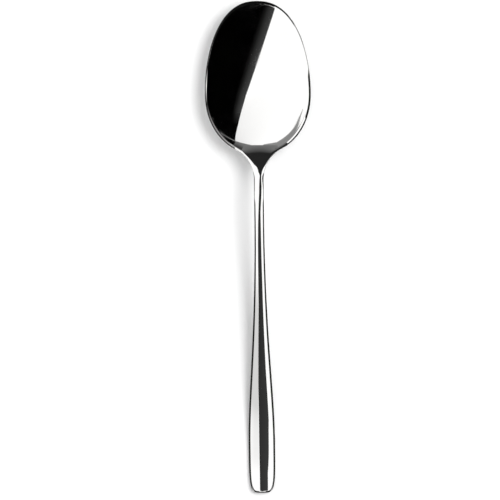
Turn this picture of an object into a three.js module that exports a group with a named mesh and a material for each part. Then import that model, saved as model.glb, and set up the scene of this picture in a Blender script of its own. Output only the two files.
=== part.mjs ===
// A dessert spoon, pressed and forged from one blank of stainless steel and polished all over.
//
// Millimetres, +Z up. X runs across the spoon and +Y from the handle's tail to the bowl's tip.
// The origin is on the table, under the middle of the spoon's length.
// A station is a distance from the tip of the bowl, measured along the spoon.
//
// The body is one loft. The plan view gives its half-width at each station, the side view gives the
// height of its edge line, where the top and the back meet, and the cross-section swells above and
// below that line: a thin dished wall in the bowl, a crowned bar in the stem and the handle.

import * as THREE from 'three';

// Plan view
const overallLength = 182;
const bowlWidth = 39.2;
const tipToWidest = 34;
const widestToHeel = 22.65;
const tipRoundness = 2; // exponent along the tip's curve: 2 is an ellipse's
const tipBluntness = 2.35; // exponent across it: more is blunter
const heelFullness = 2.1; // exponent of the heel's curve
const neckFillet = 12.5; // radius of the hollow curve from the bowl's heel into the stem
const stemWidth = 3.56;
const stemRun = 12; // even stretch behind the neck, before the handle starts to widen
const flareEntry = 47; // reach of the stem's line into the flare
const flareExit = 22; // reach of the handle's line back into the flare
const handleWidth = 9.8;
const tailRun = 18; // from the handle's widest place to its end
const tailSquareness = 4.6; // exponent of the tail's curve

// Side view
const bowlDepth = 7.5; // from the rim's crest to the floor of the bowl
const bowlWall = 1.4;
const rimLiftAtTip = 0.5;
const rimLiftCurve = 3; // exponent of that lift, which starts level at the widest place
const neckSlope = 0.31; // rise per unit of length where the neck climbs from the bowl
const neckBendLead = 13; // the neck's bend starts this far before the heel
const neckBend = 16;
const shoulderLead = 2; // the shoulder's bend starts this far before the heel
const shoulderBend = 33;
const handleArch = 0.04; // change of slope along the handle, from the shoulder to the tail
const tailBend = 26;
const tailFlat = 7; // stretch of the tail that lies level on the table

// Cross-sections
const stemCrown = 0.72; // swell of the top above the edge line
const handleCrown = 1.95;
const crownLead = 4; // the top starts to crown this far before the heel
const stemBelly = 2.5; // swell of the back below the edge line
const handleBelly = 1.4;
const bellyLead = 7; // the back starts to thicken this far before the heel
const rimRound = 0.7; // width of the rounding along the bowl's rim
const stemRound = 1.3; // width of the rounding along the stem's top edges
const tailRound = 0.75; // width of the rounding along the handle's top edges and over its end
const backRound = 1.6; // width of the rounding along the handle's flat back
const backRoundLead = 10; // the back's rounding starts to widen this far before the heel

// Facets
const facetAcross = 1.96; // across the bowl at its widest
const facetAlongBowl = 1.7;
const facetAlongNeck = 1.2;
const facetAlongHandle = 3.5;
const facetAlongTail = 1.8;
const facetOverEnd = 0.35; // over the tip of the bowl and the end of the handle
const rimPoints = 0.3; // share of the points across that the narrow rim of the bowl gets
const foreCrowding = 1.6; // exponent that crowds the steps towards the tip
const halvings = 60; // of a root search
const probe = 0.01; // half of the stretch over which the outline's lean is measured

const bowlHalf = bowlWidth / 2;
const stemHalf = stemWidth / 2;
const handleHalf = handleWidth / 2;
const heelStation = tipToWidest + widestToHeel;
const handleWidest = overallLength - tailRun;

// Ramp from 0 to 1 with no corner and no jump of curvature at either end.
function ease(t) {
  const c = THREE.MathUtils.clamp(t, 0, 1);
  return c * c * c * (10 + c * (6 * c - 15));
}

// Running integral of ease: the height gained by a slope that grows from 0 to 1.
function easeIntegral(t) {
  const c = THREE.MathUtils.clamp(t, 0, 1);
  return c ** 4 * (2.5 + c * (c - 3)) + Math.max(t - 1, 0);
}

// Half-width of a curve like an ellipse's quarter, at a share t of the way from its middle to its end.
function roundedEnd(middleHalf, t, along, across) {
  return middleHalf * Math.max(1 - Math.max(t, 0) ** along, 0) ** (1 / across);
}

function tipHalfWidth(inset, station) {
  const t = (tipToWidest - station) / (tipToWidest - inset);
  return roundedEnd(bowlHalf - inset, t, tipRoundness, tipBluntness);
}

function tailHalfWidth(inset, station) {
  const t = (station - handleWidest) / (tailRun - inset);
  return roundedEnd(handleHalf - inset, t, tailSquareness, tailSquareness);
}

// Root of a rising function between two ends, by halving.
function bisect(rising, low, high) {
  for (let step = 0; step < halvings; step += 1) {
    const middle = (low + high) / 2;
    if (rising(middle) < 0) low = middle;
    else high = middle;
  }
  return (low + high) / 2;
}

// The circle that touches the heel's curve from outside and runs out along the stem's side.
function findNeck() {
  const place = 2 / heelFullness;
  const touching = (angle) => {
    const station = tipToWidest + widestToHeel * Math.cos(angle) ** place;
    const half = bowlHalf * Math.sin(angle) ** place;
    const along = Math.cos(angle) ** (2 - place) / widestToHeel;
    const across = Math.sin(angle) ** (2 - place) / bowlHalf;
    const size = Math.hypot(along, across);
    return {
      station,
      centre: station + neckFillet * (along / size),
      reach: half + neckFillet * (across / size),
    };
  };
  const angle = bisect((a) => touching(a).reach - neckFillet - stemHalf, 0, Math.PI / 2);
  return touching(angle);
}

const neck = findNeck();
const stemStation = neck.centre;
const flareStation = stemStation + stemRun;
const flare = new THREE.CubicBezierCurve(
  new THREE.Vector2(flareStation, stemHalf),
  new THREE.Vector2(flareStation + flareEntry, stemHalf),
  new THREE.Vector2(handleWidest - flareExit, handleHalf),
  new THREE.Vector2(handleWidest, handleHalf),
);

function halfWidth(station) {
  if (station < tipToWidest) return tipHalfWidth(0, station);
  if (station < neck.station) {
    return roundedEnd(bowlHalf, (station - tipToWidest) / widestToHeel, heelFullness, heelFullness);
  }
  if (station < stemStation) {
    const back = stemStation - station;
    return stemHalf + neckFillet - Math.sqrt(neckFillet ** 2 - back ** 2);
  }
  if (station < flareStation) return stemHalf;
  if (station < handleWidest) {
    const share = bisect((t) => flare.getPoint(t).x - station, 0, 1);
    return flare.getPoint(share).y;
  }
  return tailHalfWidth(0, station);
}

// How far the handle has widened, from 0 on the stem to 1 at its widest and beyond.
function flareShare(station) {
  if (station >= handleWidest) return 1;
  if (station <= flareStation) return 0;
  return (halfWidth(station) - stemHalf) / (handleHalf - stemHalf);
}

// The bowl's rim is level at its widest place. The handle's fall is worked out so that the back of
// its tail lands flat on the table.
const rimHeight = bowlDepth + bowlWall / 2;
const bends = {
  neck: { from: heelStation - neckBendLead, length: neckBend },
  shoulder: { from: heelStation - shoulderLead, length: shoulderBend },
  tail: { from: overallLength - tailFlat - tailBend, length: tailBend },
};
bends.arch = {
  from: bends.shoulder.from + bends.shoulder.length,
  length: bends.tail.from - bends.shoulder.from - bends.shoulder.length,
};

function gain(bend, station) {
  return bend.length * easeIntegral((station - bend.from) / bend.length);
}

function findFall() {
  const end = overallLength;
  const risen = rimHeight + neckSlope * (gain(bends.neck, end) - gain(bends.shoulder, end));
  const arched = handleArch * (gain(bends.arch, end) - gain(bends.tail, end));
  return (risen - arched - handleBelly) / (gain(bends.shoulder, end) - gain(bends.tail, end));
}

const shoulderFall = findFall();

function edgeHeight(station) {
  const tipLift = rimLiftAtTip * Math.max(1 - station / tipToWidest, 0) ** rimLiftCurve;
  const climb = neckSlope * gain(bends.neck, station);
  const turnDown = (neckSlope + shoulderFall) * gain(bends.shoulder, station);
  const archOver = handleArch * gain(bends.arch, station);
  const levelOut = (shoulderFall + handleArch) * gain(bends.tail, station);
  return rimHeight + tipLift + climb - turnDown - archOver + levelOut;
}

// Depth of the bowl's hollow under its edge line, on the middle line. From the tip it is a parabola,
// and behind the deepest place it runs out smoothly to nothing where the stem begins.
function hollowDepth(station) {
  if (station < tipToWidest) return bowlDepth * (1 - (1 - station / tipToWidest) ** 2);
  const run = stemStation - tipToWidest;
  const t = Math.min((station - tipToWidest) / run, 1);
  const floorCurve = (run / tipToWidest) ** 2;
  return bowlDepth * (1 - ease(t) - floorCurve * t * t * (1 - t) ** 3);
}

// Share of the way from the bowl's section, at a lead before the heel, to the stem's section.
function intoStem(station, lead) {
  const from = heelStation - lead;
  return ease((station - from) / (stemStation - from));
}

function topSwell(station) {
  const stem = THREE.MathUtils.lerp(bowlWall / 2, stemCrown, intoStem(station, bellyLead));
  return THREE.MathUtils.lerp(stem, handleCrown, flareShare(station));
}

function backSwell(station) {
  const stem = THREE.MathUtils.lerp(bowlWall / 2, stemBelly, intoStem(station, bellyLead));
  return THREE.MathUtils.lerp(stem, handleBelly, flareShare(station));
}

// Width of the rim's rounding along the section, from its width square to the outline.
function rimAlongSection(station) {
  const lean = (halfWidth(station + probe) - halfWidth(station - probe)) / (2 * probe);
  return rimRound * Math.hypot(1, lean);
}

// Half-width of the top inside its rounded edge.
function topInnerHalf(station) {
  if (station < tipToWidest) return tipHalfWidth(rimRound, station);
  if (station > handleWidest) return tailHalfWidth(tailRound, station);
  const neckRound = THREE.MathUtils.lerp(rimAlongSection(station), stemRound, intoStem(station, bellyLead));
  const round = THREE.MathUtils.lerp(neckRound, tailRound, flareShare(station));
  return Math.max(halfWidth(station) - round, 0);
}

// Half-width of the back inside its rounded edge: nothing on the stem, whose back is round all over.
function backInnerHalf(station) {
  if (station < tipToWidest) return tipHalfWidth(rimRound, station);
  if (station > handleWidest) return tailHalfWidth(backRound, station);
  const half = halfWidth(station);
  const round = THREE.MathUtils.lerp(rimAlongSection(station), half, intoStem(station, backRoundLead));
  return THREE.MathUtils.lerp(Math.max(half - round, 0), handleHalf - backRound, flareShare(station));
}

// Arch of the top across the spoon: level in the bowl, and a half ellipse in the stem and the handle.
// The tail is cut from that of the widest place.
function crownShare(station, across) {
  const reach = station > handleWidest ? handleHalf : halfWidth(station);
  return Math.sqrt(Math.max(1 - intoStem(station, crownLead) * (across / reach) ** 2, 0));
}

// Rounding over the tip of the bowl and over the end of the handle: 1 inside, 0 at the very end.
function endRounding(station, tailReach) {
  const tip = Math.max(1 - station / rimRound, 0);
  const tail = Math.max(1 - (overallLength - station) / tailReach, 0);
  return Math.sqrt(Math.max(1 - tip * tip - tail * tail, 0));
}

// One point of a section. The share runs from -1 at the left edge to 1 at the right edge. The inner
// part of the width takes even steps, and the rounded edge takes even steps of its quarter ellipse.
function sectionPoint(station, share, side) {
  const top = side === 'top';
  const half = halfWidth(station);
  const inner = top ? topInnerHalf(station) : backInnerHalf(station);
  const edgePoints = rimPoints + (1 - rimPoints) * (1 - inner / half);
  const innerPoints = 1 - edgePoints;
  const out = Math.abs(share);
  const turn = (Math.PI / 2) * Math.max((out - innerPoints) / edgePoints, 0);
  const across = out < innerPoints
    ? inner * (out / innerPoints)
    : inner + (half - inner) * Math.sin(turn);
  const middle = edgeHeight(station) - hollowDepth(station) * (1 - (across / half) ** 2);
  const swell = top ? topSwell(station) * crownShare(station, across) : -backSwell(station);
  const ends = endRounding(station, top ? tailRound : backRound);
  return [
    Math.sign(share) * across,
    overallLength / 2 - station,
    middle + swell * Math.cos(turn) * ends,
  ];
}

// Stations of the loft: close together round the tip, in the neck and at the end of the handle.
function loftStations() {
  const list = [];
  const span = (from, to, length, facet, spacing) => {
    const steps = Math.round(length / facet);
    for (let i = 1; i <= steps; i += 1) list.push(from + (to - from) * spacing(i / steps));
  };
  const stretch = (from, to, facet, crowding) => span(from, to, to - from, facet, (t) => t ** crowding);
  const quarter = Math.PI / 2;
  const endStart = overallLength - backRound;
  span(0, rimRound, quarter * rimRound, facetOverEnd, (t) => 1 - Math.cos(t * quarter));
  stretch(rimRound, tipToWidest, facetAlongBowl, foreCrowding);
  stretch(tipToWidest, stemStation, facetAlongNeck, 1);
  stretch(stemStation, handleWidest, facetAlongHandle, 1);
  stretch(handleWidest, endStart, facetAlongTail, 1);
  span(endStart, overallLength, quarter * backRound, facetOverEnd, (t) => Math.sin(t * quarter));
  list.pop();
  return list;
}

// Rings of points round each section, joined by triangles and closed by one point at each end.
function loftGeometry() {
  const stations = loftStations();
  const spansAcross = 2 * Math.round(bowlHalf / facetAcross);
  const ring = 2 * spansAcross;
  const positions = [];
  for (const station of stations) {
    for (let i = 0; i < ring; i += 1) {
      const back = i > spansAcross;
      const share = back ? 3 - (2 * i) / spansAcross : (2 * i) / spansAcross - 1;
      positions.push(...sectionPoint(station, share, back ? 'back' : 'top'));
    }
  }
  const tip = positions.length / 3;
  const tail = tip + 1;
  positions.push(0, overallLength / 2, edgeHeight(0));
  positions.push(0, -overallLength / 2, edgeHeight(overallLength));

  const faces = [];
  for (let i = 0; i < ring; i += 1) {
    const next = (i + 1) % ring;
    for (let row = 0; row < stations.length - 1; row += 1) {
      const here = row * ring;
      const there = here + ring;
      faces.push(here + i, there + i, there + next);
      faces.push(here + i, there + next, here + next);
    }
    const last = (stations.length - 1) * ring;
    faces.push(tip, i, next);
    faces.push(tail, last + next, last + i);
  }

  const geometry = new THREE.BufferGeometry();
  geometry.setAttribute('position', new THREE.Float32BufferAttribute(positions, 3));
  geometry.setIndex(faces);
  geometry.computeVertexNormals();
  return geometry;
}

const polishedSteel = new THREE.MeshStandardMaterial({
  color: 0xc9c8c4,
  metalness: 1,
  roughness: 0.06,
});

const spoon = new THREE.Mesh(loftGeometry(), polishedSteel);
spoon.name = 'spoon';

const group = new THREE.Group();
group.add(spoon);

export default group;
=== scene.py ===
"""Looks of a polished steel dessert spoon that lies on a white table and is seen from straight above.

The spoon is one smooth mesh, made from the driving dimensions and formulas of the CAD solid that it stands
for. Only the rounding of its rim is wider. Its finish is a mirror, so most of the picture is what the spoon
mirrors: a white room with black, grey and white cards close round it.
"""

import logging
import math
from dataclasses import dataclass, field
from enum import Enum
from typing import Any

import bpy
import numpy as np
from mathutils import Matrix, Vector


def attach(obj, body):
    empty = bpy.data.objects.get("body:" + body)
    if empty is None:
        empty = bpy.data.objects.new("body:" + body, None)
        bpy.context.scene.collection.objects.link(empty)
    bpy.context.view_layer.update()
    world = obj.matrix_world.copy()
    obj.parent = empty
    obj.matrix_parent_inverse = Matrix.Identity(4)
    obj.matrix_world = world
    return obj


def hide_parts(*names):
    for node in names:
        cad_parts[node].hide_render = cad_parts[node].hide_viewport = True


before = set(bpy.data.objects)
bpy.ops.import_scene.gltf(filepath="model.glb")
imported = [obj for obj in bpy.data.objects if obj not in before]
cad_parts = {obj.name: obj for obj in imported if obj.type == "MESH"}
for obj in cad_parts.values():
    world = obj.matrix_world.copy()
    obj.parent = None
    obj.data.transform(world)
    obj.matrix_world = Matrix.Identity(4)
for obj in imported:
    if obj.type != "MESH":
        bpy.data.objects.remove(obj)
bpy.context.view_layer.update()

log = logging.getLogger("dessert_spoon")

Array = np.ndarray
Colour = tuple[float, float, float]
Pair = tuple[float, float]
Place = tuple[float, float]
Point = tuple[float, float, float]
Edge = tuple[Point, ...]
Tones = tuple[Pair, ...]

MM = 0.001
TINY = 1e-9
EYE_RAYS = ("Is Camera Ray", "Is Glossy Ray", "Is Transmission Ray")
PAPER_WHITE = (1.0, 1.0, 1.0, 1.0)
# Tones of white and black cards. White is above 1 because the steel takes some of the light.
WHITE = 1.24
BLACK = 0.012
# Numbers of the Mix node's sockets for colours, whose names repeat.
MIX_FACTOR, MIX_FIRST, MIX_SECOND = 0, 6, 7
MIX_RESULT = 2


class Socket:
    """An output of a shader node that takes part in Python arithmetic."""

    def __init__(self, graph: "ShaderGraph", output: bpy.types.NodeSocket) -> None:
        """Keeps the graph that new Math nodes are added to, and the output itself."""
        self.graph = graph
        self.output = output

    def _math(self, operation: str, first: Any, second: Any) -> "Socket":
        """Adds a Math node.

        Args:
            operation: The node's operation, such as MULTIPLY.
            first: A number or a Socket.
            second: A number or a Socket.

        Returns:
            The node's result.
        """
        return self.graph.node("ShaderNodeMath", {"operation": operation}, {0: first, 1: second})

    def __add__(self, other: Any) -> "Socket":
        """Sum of two values."""
        return self._math("ADD", self, other)

    def __radd__(self, other: Any) -> "Socket":
        """Sum of a number and this value."""
        return self._math("ADD", other, self)

    def __sub__(self, other: Any) -> "Socket":
        """Difference of two values."""
        return self._math("SUBTRACT", self, other)

    def __rsub__(self, other: Any) -> "Socket":
        """A number less this value."""
        return self._math("SUBTRACT", other, self)

    def __mul__(self, other: Any) -> "Socket":
        """Product of two values."""
        return self._math("MULTIPLY", self, other)

    def __rmul__(self, other: Any) -> "Socket":
        """Product of a number and this value."""
        return self._math("MULTIPLY", other, self)

    def at_least(self, other: Any) -> "Socket":
        """The larger of two values."""
        return self._math("MAXIMUM", self, other)


class ShaderGraph:
    """The node tree of a material or of the world."""

    def __init__(self, owner: bpy.types.Material | bpy.types.World) -> None:
        """Empties the owner's node tree.

        Args:
            owner: A material or a world.
        """
        owner.use_nodes = True
        self.tree = owner.node_tree
        self.tree.nodes.clear()

    def node(
        self,
        kind: str,
        settings: dict[str, Any] | None = None,
        sockets: dict[str | int, Any] | None = None,
        output: str | int = 0,
    ) -> Socket:
        """Adds one node of any type.

        Args:
            kind: The node's type name.
            settings: Attributes to set first. The key stops holds a ramp's (place, grey) pairs.
            sockets: Numbers, tuples or Sockets for the node's inputs, by name or number.
            output: Which output to return, by name or number.

        Returns:
            That output, or None in a Socket for a node with no output.
        """
        made = self.tree.nodes.new(kind)
        for name, value in (settings or {}).items():
            if name == "stops":
                self._set_stops(made.color_ramp, value)
            else:
                setattr(made, name, value)
        for name, value in (sockets or {}).items():
            if isinstance(value, Socket):
                self.tree.links.new(value.output, made.inputs[name])
            else:
                made.inputs[name].default_value = value
        return Socket(self, made.outputs[output] if len(made.outputs) else None)

    @staticmethod
    def _set_stops(ramp: bpy.types.ColorRamp, stops: Tones) -> None:
        """Sets a grey ramp's stops.

        Args:
            ramp: The ramp, which starts with two stops.
            stops: A (place, grey) pair for each stop.
        """
        while len(ramp.elements) < len(stops):
            ramp.elements.new(1.0)
        for element, (place, grey) in zip(ramp.elements, stops):
            element.position = place
            element.color = (grey, grey, grey, 1.0)

    def mix_colour(self, share: Any, first: Colour, second: Colour) -> Socket:
        """Mixes two colours.

        Args:
            share: Share of the second colour.
            first: Linear colour.
            second: Linear colour.

        Returns:
            The mixed colour.
        """
        inputs = {MIX_FACTOR: share, MIX_FIRST: (*first, 1.0), MIX_SECOND: (*second, 1.0)}
        return self.node("ShaderNodeMix", {"data_type": "RGBA"}, inputs, output=MIX_RESULT)

    def stretch(self, vector: Socket, scale: Point) -> Socket:
        """Multiplies a vector by a scale, part by part."""
        return self.node("ShaderNodeVectorMath", {"operation": "MULTIPLY"}, {0: vector, 1: scale})

    def shown_to_eye(self) -> Socket:
        """1 for rays from the camera and for what metal and glass show of them, 0 for other light."""
        path = {name: self.node("ShaderNodeLightPath", output=name) for name in EYE_RAYS}
        return path[EYE_RAYS[0]].at_least(path[EYE_RAYS[1]]).at_least(path[EYE_RAYS[2]])


@dataclass(frozen=True)
class PolishedSteel:
    """Mirror-polished stainless steel with faint polishing lines and a few wiped smudges."""

    name: str = "polished_steel"
    colour: Colour = (0.83, 0.827, 0.82)
    wiped_colour: Colour = (0.80, 0.796, 0.786)
    roughness: float = 0.02
    smudge_roughness: float = 0.035
    line_roughness: float = 0.02
    smudge_scale: float = 70.0
    smudge_detail: float = 3.0
    smudge_grain: float = 0.55
    smudge_tones: Tones = ((0.48, 0.0), (0.72, 1.0))
    wiped_share: float = 0.6
    line_scale: Point = (900.0, 28.0, 900.0)
    line_detail: float = 2.0
    line_height: float = 2e-7

    def material(self) -> bpy.types.Material:
        """Builds the material.

        Returns:
            The new material.
        """
        made = bpy.data.materials.new(self.name)
        graph = ShaderGraph(made)
        place = graph.node("ShaderNodeTexCoord", output="Object")
        cloud = graph.node(
            "ShaderNodeTexNoise",
            sockets={
                "Vector": place,
                "Scale": self.smudge_scale,
                "Detail": self.smudge_detail,
                "Roughness": self.smudge_grain,
            },
        )
        smudge = graph.node("ShaderNodeValToRGB", {"stops": self.smudge_tones}, {"Fac": cloud})
        lines = graph.node(
            "ShaderNodeTexNoise",
            sockets={
                "Vector": graph.stretch(place, self.line_scale),
                "Scale": 1.0,
                "Detail": self.line_detail,
            },
        )
        roughness = self.roughness + smudge * self.smudge_roughness + lines * self.line_roughness
        normal = graph.node(
            "ShaderNodeBump",
            sockets={"Strength": 1.0, "Distance": self.line_height, "Height": lines},
        )
        steel = graph.node(
            "ShaderNodeBsdfPrincipled",
            sockets={
                "Base Color": graph.mix_colour(smudge * self.wiped_share, self.colour, self.wiped_colour),
                "Metallic": 1.0,
                "Roughness": roughness,
                "Normal": normal,
            },
        )
        graph.node("ShaderNodeOutputMaterial", sockets={"Surface": steel})
        return made


@dataclass(frozen=True)
class TableTop:
    """Matt white table that is see-through from below and fades into the white room far from the spoon.

    The fade's distances are in metres.
    """

    name: str = "table_top"
    colour: Colour = (0.92, 0.92, 0.92)
    fade_start: float = 0.16
    fade_end: float = 0.45

    def material(self) -> bpy.types.Material:
        """Builds the material.

        Returns:
            The new material.
        """
        made = bpy.data.materials.new(self.name)
        graph = ShaderGraph(made)
        place = graph.node("ShaderNodeTexCoord", output="Object")
        away = graph.node("ShaderNodeVectorMath", {"operation": "LENGTH"}, {0: place}, output="Value")
        fade = graph.node(
            "ShaderNodeMapRange",
            {"interpolation_type": "SMOOTHSTEP"},
            {"Value": away, "From Min": self.fade_start, "From Max": self.fade_end},
        )
        matt = graph.node("ShaderNodeBsdfDiffuse", sockets={"Color": (*self.colour, 1.0)})
        glow = graph.node("ShaderNodeEmission", sockets={"Color": PAPER_WHITE, "Strength": 1.0})
        white = graph.node("ShaderNodeMixShader", sockets={0: fade * graph.shown_to_eye(), 1: matt, 2: glow})
        clear = graph.node("ShaderNodeBsdfTransparent")
        underside = graph.node("ShaderNodeNewGeometry", output="Backfacing")
        either = graph.node("ShaderNodeMixShader", sockets={0: underside, 1: white, 2: clear})
        graph.node("ShaderNodeOutputMaterial", sockets={"Surface": either})
        return made


@dataclass(frozen=True)
class Card:
    """A card or panel that only the metal sees, spanned between a near and a far edge.

    Both edges have the same number of corners, in millimetres. The tones are (share of the way from near to
    far, tone) pairs, and those at the edges' first corners can differ from those at their last corners.
    """

    name: str
    near: Edge
    far: Edge
    tones: Tones
    last_tones: Tones | None = None

    def material(self) -> bpy.types.Material:
        """Builds a plain glowing material with the tones in ramps.

        Returns:
            The new material.
        """
        made = bpy.data.materials.new(self.name)
        graph = ShaderGraph(made)
        place = graph.node("ShaderNodeTexCoord", output="UV")
        along = graph.node("ShaderNodeSeparateXYZ", sockets={0: place}, output="X")
        inward = graph.node("ShaderNodeSeparateXYZ", sockets={0: place}, output="Y")
        first = graph.node("ShaderNodeValToRGB", {"stops": self.tones}, {"Fac": inward})
        last = graph.node("ShaderNodeValToRGB", {"stops": self.last_tones or self.tones}, {"Fac": inward})
        glow = first + along * (last - first)
        light = graph.node("ShaderNodeEmission", sockets={"Color": glow, "Strength": 1.0})
        graph.node("ShaderNodeOutputMaterial", sockets={"Surface": light})
        return made

    def build(self) -> bpy.types.Object:
        """Builds the card's mesh.

        Returns:
            The card, which casts no shadow and is hidden from the camera.
        """
        count = len(self.near)
        points = np.array([*self.near, *self.far]) * MM
        here = np.arange(count - 1)
        faces = np.stack([here, here + 1, here + 1 + count, here + count], axis=-1)
        mesh = bpy.data.meshes.new(self.name)
        mesh.from_pydata(points.tolist(), [], faces.tolist())
        uv = mesh.uv_layers.new(name="UVMap")
        along = (here[:, None] + np.array([0.0, 1.0, 1.0, 0.0])) / (count - 1)
        inward = np.broadcast_to(np.array([0.0, 0.0, 1.0, 1.0]), along.shape)
        uv.data.foreach_set("uv", np.stack([along, inward], axis=-1).ravel())
        mesh.materials.append(self.material())
        made = bpy.data.objects.new(self.name, mesh)
        bpy.context.collection.objects.link(made)
        made.visible_camera = False
        made.visible_diffuse = False
        made.visible_shadow = False
        made.visible_transmission = False
        return made


def flat(tone: float) -> Tones:
    """Tones of a card that is the same all over."""
    return ((0.0, tone), (1.0, tone))


def level(height: float, *places: Place) -> Edge:
    """Corners of a card's edge that lie at one height."""
    return tuple((x, y, height) for x, y in places)


def bezier(controls: Any, corners: int) -> Array:
    """Points at even steps along a Bezier curve: the sum of C(n, k) (1 - t)^(n - k) t^k times control k.

    Args:
        controls: The curve's control values or control points, the first and the last of which it meets.
        corners: How many points.

    Returns:
        The points, as many rows as corners.
    """
    t = np.linspace(0.0, 1.0, corners)
    last = len(controls) - 1
    shares = [math.comb(last, k) * (1.0 - t) ** (last - k) * t**k for k in range(last + 1)]
    return np.stack(shares, axis=-1) @ np.array(controls, dtype=float)


class Side(Enum):
    """One of the two faces of the spoon's section."""

    TOP = 1
    BACK = -1


class Flank(Enum):
    """One of the two halves of the spoon's outline, seen from above with the bowl pointing up."""

    RIGHT = 1
    LEFT = -1


def ease(t: Array) -> Array:
    """Ramp from 0 to 1 with no corner and no jump of curvature: 6t^5 - 15t^4 + 10t^3, held at its ends."""
    c = np.clip(t, 0.0, 1.0)
    return c**3 * (10.0 + c * (6.0 * c - 15.0))


def ease_integral(t: Array) -> Array:
    """Running integral of ease: t^6 - 3t^5 + 2.5t^4, and a straight line beyond 1."""
    c = np.clip(t, 0.0, 1.0)
    return c**4 * (2.5 + c * (c - 3.0)) + np.maximum(t - 1.0, 0.0)


def lerp(first: Array, second: Array, share: Array) -> Array:
    """Value at a share of the way from the first to the second."""
    return first + (second - first) * share


def rounded_end(middle_half: float, t: Array, along: float, across: float) -> Array:
    """Half-width of a superellipse's quarter: middle_half * (1 - t^along)^(1/across), 0 beyond its end."""
    return middle_half * np.maximum(1.0 - np.maximum(t, 0.0) ** along, 0.0) ** (1.0 / across)


@dataclass(frozen=True)
class Bend:
    """A stretch of the side view over which the slope changes."""

    start: float
    length: float

    def gain(self, station: Array) -> Array:
        """Height gained by a station if the slope grows from 0 to 1 over the bend."""
        return self.length * ease_integral((station - self.start) / self.length)


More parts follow.
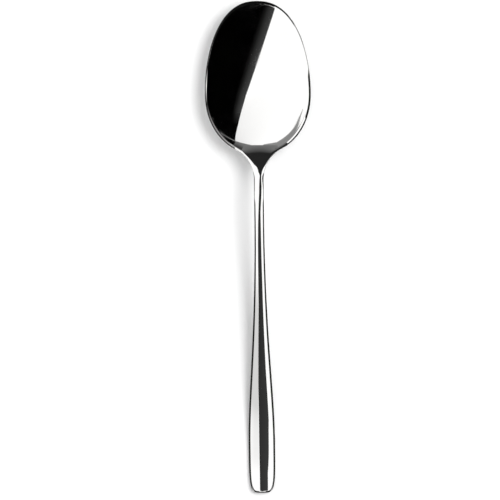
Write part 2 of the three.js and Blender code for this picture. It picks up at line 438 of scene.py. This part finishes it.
@dataclass
class Spoon:
    """The whole spoon. Sizes are in millimetres, and a station is a distance from the bowl's tip.

    The first fields draw the outline, the next ones the side view and the sections, and the last ones set
    how fine the mesh is.
    """

    overall_length: float = 182.0
    bowl_width: float = 39.2
    tip_to_widest: float = 34.0
    widest_to_heel: float = 22.65
    tip_roundness: float = 2.0
    tip_bluntness: float = 2.35
    heel_fullness: float = 2.1
    neck_fillet: float = 12.5
    stem_width: float = 3.56
    stem_run: float = 12.0
    flare_entry: float = 47.0
    flare_exit: float = 22.0
    handle_width: float = 9.8
    tail_run: float = 18.0
    tail_squareness: float = 4.6

    bowl_depth: float = 7.5
    bowl_wall: float = 1.4
    rim_lift_at_tip: float = 0.5
    rim_lift_curve: float = 3.0
    neck_slope: float = 0.31
    neck_bend_lead: float = 13.0
    neck_bend: float = 16.0
    shoulder_lead: float = 2.0
    shoulder_bend: float = 33.0
    handle_arch: float = 0.04
    tail_bend: float = 26.0
    tail_flat: float = 7.0

    stem_crown: float = 0.72
    handle_crown: float = 1.95
    stem_belly: float = 2.5
    handle_belly: float = 1.4
    crown_lead: float = 4.0
    belly_lead: float = 7.0
    rim_round: float = 1.2
    stem_round: float = 1.3
    tail_round: float = 0.75
    back_round: float = 1.6
    back_round_lead: float = 10.0

    rim_points: float = 0.3
    ring_points: int = 192
    span_rings: int = 100
    tail_rings: int = 40
    round_rings: int = 22
    tip_crowding: float = 1.4
    outline_corners: int = 33
    halvings: int = 48
    probe: float = 0.01
    finish: PolishedSteel = field(default_factory=PolishedSteel)

    def __post_init__(self) -> None:
        """Works out the sizes and places that follow from the driving dimensions."""
        self.bowl_half = self.bowl_width / 2
        self.stem_half = self.stem_width / 2
        self.handle_half = self.handle_width / 2
        self.heel = self.tip_to_widest + self.widest_to_heel
        self.handle_widest = self.overall_length - self.tail_run
        self.neck_station, self.stem_station = self._find_neck()
        self.flare_station = self.stem_station + self.stem_run
        self.rim_height = self.bowl_depth + self.bowl_wall / 2
        self.neck = Bend(self.heel - self.neck_bend_lead, self.neck_bend)
        self.shoulder = Bend(self.heel - self.shoulder_lead, self.shoulder_bend)
        self.tail = Bend(self.overall_length - self.tail_flat - self.tail_bend, self.tail_bend)
        arch_start = self.shoulder.start + self.shoulder.length
        self.arch = Bend(arch_start, self.tail.start - arch_start)
        self.shoulder_fall = self._find_fall()

    def _find_neck(self) -> tuple[float, float]:
        """Finds the circle that touches the heel's curve from outside and runs out along the stem.

        Returns:
            The station where it touches the heel, and the station of its centre, where the stem begins.
        """
        place = 2.0 / self.heel_fullness
        low, high = 0.0, math.pi / 2
        for _ in range(self.halvings):
            angle = (low + high) / 2
            station = self.tip_to_widest + self.widest_to_heel * math.cos(angle) ** place
            half = self.bowl_half * math.sin(angle) ** place
            along = math.cos(angle) ** (2.0 - place) / self.widest_to_heel
            across = math.sin(angle) ** (2.0 - place) / self.bowl_half
            size = math.hypot(along, across)
            reach = half + self.neck_fillet * across / size
            centre = station + self.neck_fillet * along / size
            if reach < self.neck_fillet + self.stem_half:
                low = angle
            else:
                high = angle
        return station, centre

    def _find_fall(self) -> float:
        """Slope of the handle that lands the back of its tail flat on the table.

        Returns:
            The fall per unit of length behind the shoulder.
        """
        end = self.overall_length
        risen = self.rim_height + self.neck_slope * (self.neck.gain(end) - self.shoulder.gain(end))
        arched = self.handle_arch * (self.arch.gain(end) - self.tail.gain(end))
        return (risen - arched - self.handle_belly) / (self.shoulder.gain(end) - self.tail.gain(end))

    def tip_half(self, inset: float, station: Array) -> Array:
        """Half-width of the bowl before its widest place, inside an inset."""
        t = (self.tip_to_widest - station) / (self.tip_to_widest - inset)
        return rounded_end(self.bowl_half - inset, t, self.tip_roundness, self.tip_bluntness)

    def tail_half(self, inset: float, station: Array) -> Array:
        """Half-width of the handle behind its widest place, inside an inset."""
        t = (station - self.handle_widest) / (self.tail_run - inset)
        return rounded_end(self.handle_half - inset, t, self.tail_squareness, self.tail_squareness)

    def flare_share(self, station: Array) -> Array:
        """How far the handle has widened, by a Bezier curve solved for the station by halving.

        Args:
            station: Stations along the spoon.

        Returns:
            0 on the stem, 1 at the handle's widest place and beyond.
        """
        low = np.zeros_like(station)
        high = np.ones_like(station)
        length = self.handle_widest - self.flare_station
        entry = self.flare_entry / length
        leave = 1.0 - self.flare_exit / length
        wanted = np.clip((station - self.flare_station) / length, 0.0, 1.0)
        for _ in range(self.halvings):
            t = (low + high) / 2
            along = 3 * (1 - t) ** 2 * t * entry + 3 * (1 - t) * t**2 * leave + t**3
            short = along < wanted
            low = np.where(short, t, low)
            high = np.where(short, high, t)
        return 3 * (1 - t) * t**2 + t**3

    def half_width(self, station: Array) -> Array:
        """Half-width of the outline: tip curve, heel curve, neck fillet, stem, flare and tail in turn.

        Args:
            station: Stations along the spoon.

        Returns:
            The half-width at each station.
        """
        t = (station - self.tip_to_widest) / self.widest_to_heel
        heel = rounded_end(self.bowl_half, t, self.heel_fullness, self.heel_fullness)
        back = np.clip(self.stem_station - station, 0.0, self.neck_fillet)
        fillet = self.stem_half + self.neck_fillet - np.sqrt(self.neck_fillet**2 - back**2)
        flare = lerp(self.stem_half, self.handle_half, self.flare_share(station))
        return np.select(
            [
                station < self.tip_to_widest,
                station < self.neck_station,
                station < self.stem_station,
                station < self.handle_widest,
            ],
            [self.tip_half(0.0, station), heel, fillet, flare],
            self.tail_half(0.0, station),
        )

    def edge_height(self, station: Array) -> Array:
        """Height of the edge line: rim, lift at the tip, climb of the neck, shoulder, arch and tail."""
        lift = np.maximum(1.0 - station / self.tip_to_widest, 0.0) ** self.rim_lift_curve
        return (
            self.rim_height
            + self.rim_lift_at_tip * lift
            + self.neck_slope * self.neck.gain(station)
            - (self.neck_slope + self.shoulder_fall) * self.shoulder.gain(station)
            - self.handle_arch * self.arch.gain(station)
            + (self.shoulder_fall + self.handle_arch) * self.tail.gain(station)
        )

    def hollow_depth(self, station: Array) -> Array:
        """Depth of the hollow on the middle line: a parabola from the tip, then a run-out to the stem."""
        fore = 1.0 - (1.0 - station / self.tip_to_widest) ** 2
        run = self.stem_station - self.tip_to_widest
        t = np.clip((station - self.tip_to_widest) / run, 0.0, 1.0)
        floor_curve = (run / self.tip_to_widest) ** 2
        rear = 1.0 - ease(t) - floor_curve * t**2 * (1.0 - t) ** 3
        return self.bowl_depth * np.where(station < self.tip_to_widest, fore, rear)

    def into_stem(self, station: Array, lead: float) -> Array:
        """Share of the way from the bowl's section, at a lead before the heel, to the stem's section."""
        start = self.heel - lead
        return ease((station - start) / (self.stem_station - start))

    def swell(self, station: Array, side: Side) -> Array:
        """How far a side stands off the edge line: half the wall in the bowl, then a crown or a belly."""
        top = side is Side.TOP
        stem = self.stem_crown if top else self.stem_belly
        handle = self.handle_crown if top else self.handle_belly
        neck = lerp(self.bowl_wall / 2, stem, self.into_stem(station, self.belly_lead))
        return lerp(neck, handle, self.flare_share(station))

    def inner_half(self, station: Array, side: Side) -> Array:
        """Half-width inside the rounded edge, which is measured square to the outline.

        Args:
            station: Stations along the spoon.
            side: Top or back.

        Returns:
            The half-width, 0 where the rounding of both edges meets in the middle.
        """
        half = self.half_width(station)
        ahead = self.half_width(station + self.probe)
        behind = self.half_width(station - self.probe)
        rim = self.rim_round * np.hypot(1.0, (ahead - behind) / (2.0 * self.probe))
        flare = self.flare_share(station)
        if side is Side.TOP:
            neck = lerp(rim, self.stem_round, self.into_stem(station, self.belly_lead))
            body = np.maximum(half - lerp(neck, self.tail_round, flare), 0.0)
            tail = self.tail_half(self.tail_round, station)
        else:
            neck = lerp(rim, half, self.into_stem(station, self.back_round_lead))
            body = lerp(np.maximum(half - neck, 0.0), self.handle_half - self.back_round, flare)
            tail = self.tail_half(self.back_round, station)
        places = [station < self.tip_to_widest, station > self.handle_widest]
        return np.select(places, [self.tip_half(self.rim_round, station), tail], body)

    def crown_share(self, station: Array, across: Array) -> Array:
        """Arch of the top across the spoon: 1 in the bowl, and a half ellipse in the stem and the handle.

        The tail is cut from the ellipse of the widest place.

        Args:
            station: Stations along the spoon, as a column.
            across: Distances from the middle line, by station.

        Returns:
            Shares of the crown's height.
        """
        reach = np.where(station > self.handle_widest, self.handle_half, self.half_width(station))
        arched = self.into_stem(station, self.crown_lead) * (across / reach) ** 2
        return np.sqrt(np.maximum(1.0 - arched, 0.0))

    def end_rounding(self, station: Array, tail_reach: float) -> Array:
        """Rounding over the bowl's tip and the handle's end: quarter circles from 1 inside to 0 outside."""
        tip = np.maximum(1.0 - station / self.rim_round, 0.0)
        tail = np.maximum(1.0 - (self.overall_length - station) / tail_reach, 0.0)
        return np.sqrt(np.maximum(1.0 - tip**2 - tail**2, 0.0))

    def surface(self, station: Array, share: Array, side: Side) -> Array:
        """Points of one side, for every station and every share of the width.

        The inner part of the width takes even steps and the rounded edge takes even steps of its quarter
        ellipse. The height is the edge line, less a parabolic hollow, plus or less the swell.

        Args:
            station: Stations along the spoon.
            share: Shares of the half-width, -1 at the left edge and 1 at the right edge.
            side: Top or back.

        Returns:
            An array of points in millimetres, by station and share.
        """
        half = self.half_width(station)[:, None]
        inner = self.inner_half(station, side)[:, None]
        edge_points = self.rim_points + (1.0 - self.rim_points) * (1.0 - inner / half)
        inner_points = 1.0 - edge_points
        out = np.abs(share)[None, :]
        turn = (np.pi / 2) * np.maximum((out - inner_points) / edge_points, 0.0)
        inside = inner * out / np.maximum(inner_points, TINY)
        across = np.where(out < inner_points, inside, inner + (half - inner) * np.sin(turn))
        spread = across / half
        hollow = self.hollow_depth(station)[:, None] * (1.0 - spread**2)
        reach = self.tail_round if side is Side.TOP else self.back_round
        swell = (self.swell(station, side) * self.end_rounding(station, reach))[:, None]
        if side is Side.TOP:
            swell = swell * self.crown_share(station[:, None], across)
        x = np.sign(share)[None, :] * across
        y = np.broadcast_to(self.overall_length / 2 - station[:, None], x.shape)
        z = self.edge_height(station)[:, None] - hollow + side.value * swell * np.cos(turn)
        return np.stack([x, y, z], axis=-1)

    def stations(self) -> Array:
        """Stations of the rings, closer together round the tip, in the neck and at the tail's end.

        Returns:
            The stations, without the two ends.
        """
        end_start = self.overall_length - self.back_round
        even = np.linspace(0.0, 1.0, self.span_rings)[1:]
        even_tail = np.linspace(0.0, 1.0, self.tail_rings)[1:]
        turn = np.linspace(0.0, 1.0, self.round_rings)[1:] * np.pi / 2
        spans = [
            self.rim_round * (1.0 - np.cos(turn)),
            lerp(self.rim_round, self.tip_to_widest, even**self.tip_crowding),
            lerp(self.tip_to_widest, self.stem_station, even),
            lerp(self.stem_station, self.handle_widest, even),
            lerp(self.handle_widest, end_start, even_tail),
            lerp(end_start, self.overall_length, np.sin(turn)),
        ]
        return np.concatenate(spans)[:-1]

    def mesh(self) -> bpy.types.Mesh:
        """Builds the closed mesh: rings round every station, and a point at each end.

        Returns:
            The mesh, in metres, smooth. Its UVs are its plan, with the back beside the top.
        """
        station = self.stations()
        ring = self.ring_points
        across = ring // 2
        share = np.linspace(-1.0, 1.0, across + 1)
        top = self.surface(station, share, Side.TOP)
        back = self.surface(station, share[::-1], Side.BACK)[:, 1:-1]
        rings = np.concatenate([top, back], axis=1)
        middle = self.overall_length / 2
        ends = np.array([0.0, self.overall_length])
        poles = np.stack([np.zeros(2), middle - ends, self.edge_height(ends)], axis=-1)
        points = np.concatenate([rings.reshape(-1, 3), poles]) * MM

        rows = len(station)
        here = np.arange(ring)
        after = (here + 1) % ring
        base = np.arange(rows - 1)[:, None] * ring
        quads = np.stack([base + here, base + ring + here, base + ring + after, base + after], axis=-1)
        tip = np.stack([np.full(ring, rows * ring), here, after], axis=-1)
        last = (rows - 1) * ring
        tail = np.stack([np.full(ring, rows * ring + 1), last + after, last + here], axis=-1)
        faces = [*quads.reshape(-1, 4).tolist(), *tip.tolist(), *tail.tolist()]

        made = bpy.data.meshes.new("spoon_body")
        made.from_pydata(points.tolist(), [], faces)
        made.polygons.foreach_set("use_smooth", np.ones(len(made.polygons), dtype=bool))
        corners = np.empty(len(made.loops), dtype=np.int32)
        made.loops.foreach_get("vertex_index", corners)
        uv = made.uv_layers.new(name="UVMap")
        on_back = np.concatenate([np.tile(here > across, rows), [False, False]])
        top_middle = np.array([0.25, 0.5])
        back_aside = np.array([0.5, 0.0])
        plan = points[:, :2] / (self.overall_length * MM) + top_middle + on_back[:, None] * back_aside
        uv.data.foreach_set("uv", plan[corners].ravel())
        made.update()
        return made

    def outline(
        self, flank: Flank, height: float, start: float, end: float, gap: float = 0.0, scale: float = 1.0
    ) -> Edge:
        """Corners along one half of the outline, a gap away or enlarged about the bowl's widest place.

        Args:
            flank: Left or right.
            height: Height above the table.
            start: First station.
            end: Last station.
            gap: Distance from the outline, measured across.
            scale: Enlargement.

        Returns:
            The corners, closer together towards the tip.
        """
        station = np.linspace(math.sqrt(start), math.sqrt(end), self.outline_corners) ** 2
        across = flank.value * (scale * self.half_width(station) + gap)
        middle = self.overall_length / 2 - self.tip_to_widest
        return level(height, *zip(across, middle + scale * (self.tip_to_widest - station)))

    def build(self) -> bpy.types.Object:
        """Builds the spoon's piece, dresses it and puts it in the CAD node's place.

        Returns:
            The piece.
        """
        mesh = self.mesh()
        mesh.materials.append(self.finish.material())
        piece = bpy.data.objects.new("spoon_body", mesh)
        bpy.context.collection.objects.link(piece)
        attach(piece, "root")
        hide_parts("spoon")
        log.info("%s: %d points", piece.name, len(mesh.vertices))
        return piece


def arc(radius: float, rises: tuple[float, ...], turns: Pair) -> Edge:
    """Corners of a card's edge that runs round the heel of the bowl.

    Args:
        radius: Distance from the heel.
        rises: Control values of a Bezier curve of elevations, seen from under the heel, in degrees.
        turns: First and last direction in degrees, 0 to the right and 90 past the bowl's tip.

    Returns:
        The corners.
    """
    heel_y = 45.0
    corners = 41
    turn = np.radians(np.linspace(*turns, corners))
    heights = radius * np.tan(np.radians(bezier(rises, corners)))
    return tuple(zip(radius * np.cos(turn), heel_y + radius * np.sin(turn), heights))


@dataclass(frozen=True)
class BowlCards:
    """What the bowl mirrors: a white ceiling, a black flag with a slanting edge, and walls past the tip.

    Sizes are in millimetres. The flag's edge is three Bezier arms, and a wall's tops and feet are Bezier
    controls of elevations in degrees between two directions.
    """

    ceiling: float = 130.0
    ceiling_half: float = 520.0
    flag: float = 90.0
    layer_gap: float = 0.5
    arm_corners: int = 13
    near_arm: tuple[Place, ...] = ((-36.0, 9.0), (-18.0, 37.0), (26.0, 61.0))
    far_arm: tuple[Place, ...] = ((26.0, 61.0), (30.9, 64.3), (54.9, 142.4))
    end_arm: tuple[Place, ...] = ((54.9, 142.4), (75.3, 213.6), (92.0, 270.0))
    back_ys: tuple[float, ...] = (0.0, 142.0, 270.0)
    fringe_width: float = 26.0
    fringe_fade_start: int = 7
    fringe_fade_end: int = 12
    fringe_tones: Tones = ((0.0, 0.06), (0.35, 0.038), (0.7, 0.01), (1.0, 0.0))
    halo_width: float = 90.0
    halo_end_tones: Tones = ((0.0, WHITE), (0.4, 1.1), (1.0, 0.85))

    wall_radius: float = 160.0
    right_turns: Pair = (26.0, 67.0)
    right_tops: tuple[float, ...] = (26.0, 29.5, 28.0, 26.0)
    right_feet: tuple[float, ...] = (0.0,)
    thin_slit_tones: Tones = ((0.0, 0.0), (0.008, 0.09), (0.016, 0.09), (0.024, 0.0), (1.0, 0.0))
    slit_tones: Tones = ((0.0, 0.0), (0.012, 0.36), (0.03, 0.36), (0.042, 0.0), (1.0, 0.0))
    heel_turns: Pair = (67.0, 109.0)
    heel_tops: tuple[float, ...] = (26.0, 26.0, 33.9, 29.4, 26.1)
    heel_feet: tuple[float, ...] = (0.0, 0.0, 4.0, 12.0, 15.5)
    dim_tones: Tones = ((0.0, 0.2), (0.3, 0.06), (0.5, BLACK), (1.0, BLACK))
    left_turns: Pair = (109.0, 160.0)
    left_tops: tuple[float, ...] = (26.1, 28.6, 34.2, 30.2, 27.0)
    left_feet: tuple[float, ...] = (15.5, 24.5, 31.8, 28.8, 26.7)
    grey_tones: Tones = ((0.0, 0.36), (0.3, 0.28), (1.0, 0.3))

    def flag_back(self) -> Array:
        """Corners of the flag's straight back edges, as many as its slanting edge has."""
        wide = self.ceiling_half
        low, middle, high = self.back_ys
        turns = ((self.near_arm[0][0], low), (wide, low), (wide, middle), (wide, high))
        return np.concatenate([bezier(pair, self.arm_corners) for pair in zip(turns, turns[1:])])

    def flag_cards(self) -> list[Card]:
        """The flag, the grey fringes along its edge, the ceiling, and the halo beside the flag's far end.

        Returns:
            The cards.
        """
        arms = (self.near_arm, self.far_arm, self.end_arm)
        near, far, end = (bezier(arm, self.arm_corners) for arm in arms)
        steady = np.concatenate([near, far[: self.fringe_fade_start + 1]])
        fading = far[self.fringe_fade_start : self.fringe_fade_end]
        halo = np.concatenate([far, end])
        inward = np.array((self.fringe_width, 0.0))
        outward = np.array((-self.halo_width, 0.0))
        at = self.flag
        under = at - self.layer_gap
        over = at + self.layer_gap
        wide = self.ceiling_half
        fringe = self.fringe_tones
        unlit = flat(0.0)
        return [
            Card("flag", level(at, *near, *far, *end), level(at, *self.flag_back()), unlit),
            Card("flag_fringe", level(under, *steady), level(under, *(steady + inward)), fringe),
            Card("heel_fringe", level(under, *fading), level(under, *(fading + inward)), fringe, unlit),
            Card(
                "ceiling",
                level(self.ceiling, (-wide, -wide), (wide, -wide)),
                level(self.ceiling, (-wide, wide), (wide, wide)),
                flat(WHITE),
            ),
            Card(
                "flag_halo",
                level(over, *(halo + outward)),
                level(over, *halo),
                flat(WHITE),
                self.halo_end_tones,
            ),
        ]

    def wall_cards(self) -> list[Card]:
        """The walls past the tip, which the heel of the bowl mirrors as its grey crescent.

        Returns:
            The cards.
        """
        radius = self.wall_radius
        return [
            Card(
                "right_wall",
                arc(radius, self.right_tops, self.right_turns),
                arc(radius, self.right_feet, self.right_turns),
                self.thin_slit_tones,
                self.slit_tones,
            ),
            Card(
                "heel_wall",
                arc(radius, self.heel_tops, self.heel_turns),
                arc(radius, self.heel_feet, self.heel_turns),
                self.dim_tones,
                self.grey_tones,
            ),
            Card(
                "left_wall",
                arc(radius, self.left_tops, self.left_turns),
                arc(radius, self.left_feet, self.left_turns),
                self.grey_tones,
            ),
        ]

    def cards(self) -> list[Card]:
        """All the cards for the bowl."""
        return [*self.flag_cards(), *self.wall_cards()]


@dataclass(frozen=True)
class HandleCards:
    """What the neck, the stem and the handle mirror: a dark stripe in a pale tent.

    Sizes are in millimetres. The neck's strip stands upright over the heel of the bowl, and its levels are
    (height, left end, right end).
    """

    tent: float = 45.0
    tent_half: float = 170.0
    layer_gap: float = 0.5
    stripe_left: tuple[Place, ...] = (
        (6.0, 46.0), (6.0, 44.0), (2.5, 36.0), (1.0, 27.0), (-4.2, 10.0), (-10.5, -6.6),
        (-8.5, -30.0), (-10.5, -56.0), (-8.5, -72.0), (-8.0, -78.0), (-7.0, -86.0), (-7.0, -115.0),
    )
    stripe_right: tuple[Place, ...] = (
        (32.0, 50.0), (32.0, 44.0), (38.0, 36.0), (30.0, 27.0), (8.5, 10.0), (11.5, -6.6),
        (15.0, -32.0), (19.5, -56.0), (25.0, -72.0), (27.0, -78.0), (18.5, -86.0), (18.0, -115.0),
    )
    stripe_tones: Tones = flat(0.02)
    stripe_end_tones: Tones = ((0.0, 0.035), (1.0, 0.055))
    veil_x: float = -9.5
    veil_ys: Pair = (-18.0, -86.0)
    veil_tones: Tones = ((0.0, WHITE), (0.2, 0.8), (0.8, 0.8), (1.0, WHITE))
    strip_y: float = 44.0
    strip_levels: tuple[tuple[float, float, float], ...] = (
        (10.5, -3.5, 7.5), (36.0, -1.0, 15.0), (45.0, 6.0, 32.0),
    )
    strip_tones: Tones = ((0.0, 0.2), (0.135, 0.02), (1.0, 0.02))

    def cards(self) -> list[Card]:
        """All the cards for the handle.

        Returns:
            The cards.
        """
        left = level(self.tent, *self.stripe_left)
        right = level(self.tent, *self.stripe_right)
        far_left = level(self.tent, *((-self.tent_half, y) for _, y in self.stripe_left))
        far_right = level(self.tent, *((self.tent_half, y) for _, y in self.stripe_right))
        under = self.tent - self.layer_gap
        veil = [level(under, (self.veil_x, y), (-self.tent_half, y)) for y in self.veil_ys]
        at = self.strip_y
        foot, middle, top = (level(z, (start, at), (end, at)) for z, start, end in self.strip_levels)
        return [
            Card("stripe", left, right, self.stripe_tones, self.stripe_end_tones),
            Card("left_tent", left, far_left, flat(WHITE)),
            Card("right_tent", right, far_right, flat(WHITE)),
            Card("left_veil", *veil, self.veil_tones),
            Card("neck_strip", foot, middle, self.strip_tones),
            Card("neck_strip_top", middle, top, self.stripe_tones),
        ]


@dataclass(frozen=True)
class RimBand:
    """A stretch of the ring of cards over the bowl's rim.

    Scales are the inside's and the outside's enlargements of the bowl's outline. The span is the stretch's
    first and last station, and the tones are those there.
    """

    name: str
    flank: Flank
    scales: Pair
    span: Pair
    tones: tuple[Tones, Tones]


@dataclass(frozen=True)
class EdgeCards:
    """What the rounded edges mirror as thin lines: far skirts, table margins, curtains and rim bands.

    Sizes are in millimetres, elevations and directions in degrees, and curtain tops are (y, height).
    """

    spoon: Spoon
    skirt_radius: float = 500.0
    skirt_rises: tuple[float, ...] = (14.5,)
    skirt_turns: Pair = (78.0, 370.0)
    heel_skirt_radius: float = 450.0
    heel_skirt_rises: tuple[float, ...] = (14.0, 26.0, 26.0, 14.0)
    heel_skirt_turns: Pair = (185.0, 250.0)
    margin_gap: float = 0.7
    margin_height: float = 0.3
    left_margin_start: float = 70.0
    right_tip_margin_end: float = 12.5
    right_margin_start: float = 22.0
    curtain_x: float = 60.0
    curtain_tops: tuple[Pair, ...] = (
        (45.0, 12.0), (27.0, 14.0), (17.0, 38.0), (-10.0, 40.0), (-70.0, 12.0),
    )
    rim_height: float = 14.0
    rim_reach: float = 3.0
    gleam_reach: float = 0.84
    dark: Tones = ((0.0, 0.03), (1.0, BLACK))
    jet: Tones = flat(0.004)
    gleam: Tones = flat(1.1)
    faint_gleam: Tones = flat(0.45)

    def skirt_cards(self) -> list[Card]:
        """Dark skirts at the far end of the room, which draw the lines where an edge turns level."""
        floor = (0.0,)
        skirts = (
            ("skirt", self.skirt_radius, self.skirt_rises, self.skirt_turns),
            ("heel_skirt", self.heel_skirt_radius, self.heel_skirt_rises, self.heel_skirt_turns),
        )
        return [
            Card(name, arc(radius, rises, turns), arc(radius, floor, turns), self.dark)
            for name, radius, rises, turns in skirts
        ]

    def margin_cards(self) -> list[Card]:
        """Dark margins on the table, past both ends of the spoon and along parts of its outline.

        Returns:
            The cards.
        """
        wide = self.skirt_radius
        low = self.margin_height
        length = self.spoon.overall_length
        ends = length / 2 + self.margin_gap
        made = [
            Card(
                name,
                level(low, (-wide, way * ends), (wide, way * ends)),
                level(low, (-wide, way * wide), (wide, way * wide)),
                self.dark,
            )
            for name, way in (("tip_margin", 1), ("tail_margin", -1))
        ]
        margins = (
            ("left_margin", Flank.LEFT, self.left_margin_start, length),
            ("right_tip_margin", Flank.RIGHT, 0.0, self.right_tip_margin_end),
            ("right_margin", Flank.RIGHT, self.right_margin_start, length),
        )
        for name, flank, start, end in margins:
            near = self.spoon.outline(flank, low, start, end, gap=self.margin_gap)
            far = level(low, *((flank.value * wide, y) for _, y, _ in near))
            made.append(Card(name, near, far, self.dark))
        return made

    def curtain_cards(self) -> list[Card]:
        """Dark curtains on both sides of the neck and the handle."""
        made = []
        for flank, name in ((Flank.LEFT, "left_curtain"), (Flank.RIGHT, "right_curtain")):
            x = flank.value * self.curtain_x
            tops = tuple((x, y, height) for y, height in self.curtain_tops)
            made.append(Card(name, tops, level(0.0, *((x, y) for y, _ in self.curtain_tops)), self.dark))
        return made

    def rim_bands(self) -> tuple[RimBand, ...]:
        """Dark bands over the rim, and gleams just inside the left one.

        Returns:
            The bands.
        """
        left, right = Flank.LEFT, Flank.RIGHT
        dark, jet, gleam, faint = self.dark, self.jet, self.gleam, self.faint_gleam
        reach, shine = self.rim_reach, self.gleam_reach
        return (
            RimBand("left_rim", left, scales=(shine, reach), span=(0.0, 54.0), tones=(jet, dark)),
            RimBand("left_gleam_start", left, scales=(0.6, shine), span=(22.0, 30.0), tones=(dark, gleam)),
            RimBand("left_gleam_end", left, scales=(0.6, shine), span=(30.0, 38.0), tones=(gleam, dark)),
            RimBand("left_heel_gleam", left, scales=(0.5, shine), span=(38.0, 54.0), tones=(dark, faint)),
            RimBand("tip_rim", right, scales=(0.88, reach), span=(0.0, 1.2), tones=(jet, jet)),
            RimBand("right_tip_rim", right, scales=(0.95, reach), span=(1.2, 9.0), tones=(jet, dark)),
            RimBand("right_rim", right, scales=(0.6, reach), span=(25.0, 44.0), tones=(dark, jet)),
            RimBand("right_heel_rim", right, scales=(0.82, reach), span=(44.0, 53.0), tones=(jet, dark)),
        )

    def rim_cards(self) -> list[Card]:
        """The bands over the rim as cards."""
        made = []
        for band in self.rim_bands():
            near, far = (
                self.spoon.outline(band.flank, self.rim_height, *band.span, scale=scale)
                for scale in band.scales
            )
            made.append(Card(band.name, near, far, *band.tones))
        return made

    def cards(self) -> list[Card]:
        """All the cards for the edges."""
        return [*self.skirt_cards(), *self.margin_cards(), *self.curtain_cards(), *self.rim_cards()]


@dataclass
class Studio:
    """White table and room, one soft lamp on the right, and the cards that the metal mirrors.

    The table and the lamp are in metres, watts and degrees.
    """

    spoon: Spoon
    table_half: float = 2.0
    room_fill: float = 0.76
    key_power: float = 7.2
    key_size: float = 0.6
    key_distance: float = 1.1
    key_elevation: float = 63.0
    key_azimuth: float = 24.0

    def world(self) -> None:
        """White room for the eye, and a plain fill for everything else."""
        world = bpy.data.worlds.new("white_room")
        bpy.context.scene.world = world
        graph = ShaderGraph(world)
        seen = graph.shown_to_eye()
        strength = self.room_fill + (1.0 - self.room_fill) * seen
        white = graph.node("ShaderNodeBackground", sockets={"Color": PAPER_WHITE, "Strength": strength})
        graph.node("ShaderNodeOutputWorld", sockets={"Surface": white})

    def table(self) -> bpy.types.Object:
        """Builds the table top at the height that the spoon rests on.

        Returns:
            The table top.
        """
        mesh = bpy.data.meshes.new("table_top")
        h = self.table_half
        mesh.from_pydata([(-h, -h, 0.0), (h, -h, 0.0), (h, h, 0.0), (-h, h, 0.0)], [], [(0, 1, 2, 3)])
        mesh.materials.append(TableTop().material())
        made = bpy.data.objects.new("table_top", mesh)
        bpy.context.collection.objects.link(made)
        return made

    def key(self) -> bpy.types.Object:
        """Builds the soft lamp on the right, which throws the shadow to the left.

        Returns:
            The lamp.
        """
        data = bpy.data.lights.new("key", "AREA")
        data.shape = "DISK"
        data.size = self.key_size
        data.energy = self.key_power
        lamp = bpy.data.objects.new("key", data)
        bpy.context.collection.objects.link(lamp)
        rise = math.radians(self.key_elevation)
        turn = math.radians(self.key_azimuth)
        level_part = math.cos(rise)
        toward = Vector((level_part * math.cos(turn), level_part * math.sin(turn), math.sin(rise)))
        lamp.location = toward * self.key_distance
        lamp.rotation_euler = toward.to_track_quat("Z", "Y").to_euler()
        lamp.visible_glossy = False
        lamp.visible_camera = False
        return lamp

    def build(self) -> None:
        """Builds the room, the table, the lamp and the cards."""
        self.world()
        self.table()
        self.key()
        cards = [*BowlCards().cards(), *HandleCards().cards(), *EdgeCards(self.spoon).cards()]
        for card in cards:
            card.build()
        log.info("studio: %d cards", len(cards))


@dataclass
class PhotoCamera:
    """Long lens straight above the spoon, turned and shifted as the photograph is framed, in millimetres."""

    frame_width: float = 184.65
    height: float = 1500.0
    subject_height: float = 8.0
    sensor: float = 36.0
    roll_degrees: float = -0.69
    spoon_right: float = 3.53
    spoon_up: float = 0.91

    def build(self) -> bpy.types.Object:
        """Builds the camera and makes it the scene's.

        Returns:
            The camera.
        """
        data = bpy.data.cameras.new("photo_camera")
        data.sensor_width = self.sensor
        data.lens = self.sensor * (self.height - self.subject_height) / self.frame_width
        camera = bpy.data.objects.new("photo_camera", data)
        bpy.context.collection.objects.link(camera)
        roll = math.radians(self.roll_degrees)
        right = Vector((math.cos(roll), math.sin(roll), 0.0))
        up = Vector((-math.sin(roll), math.cos(roll), 0.0))
        aim = -(right * self.spoon_right + up * self.spoon_up)
        camera.location = (aim + Vector((0.0, 0.0, self.height))) * MM
        camera.rotation_euler = (0.0, 0.0, roll)
        bpy.context.scene.camera = camera
        return camera


def main() -> None:
    """Builds the spoon, the studio and the camera."""
    logging.basicConfig(level=logging.INFO, format="%(name)s %(message)s")
    bpy.context.scene.view_settings.view_transform = "Standard"
    spoon = Spoon()
    spoon.build()
    Studio(spoon).build()
    PhotoCamera().build()


if __name__ == "__main__":
    main()
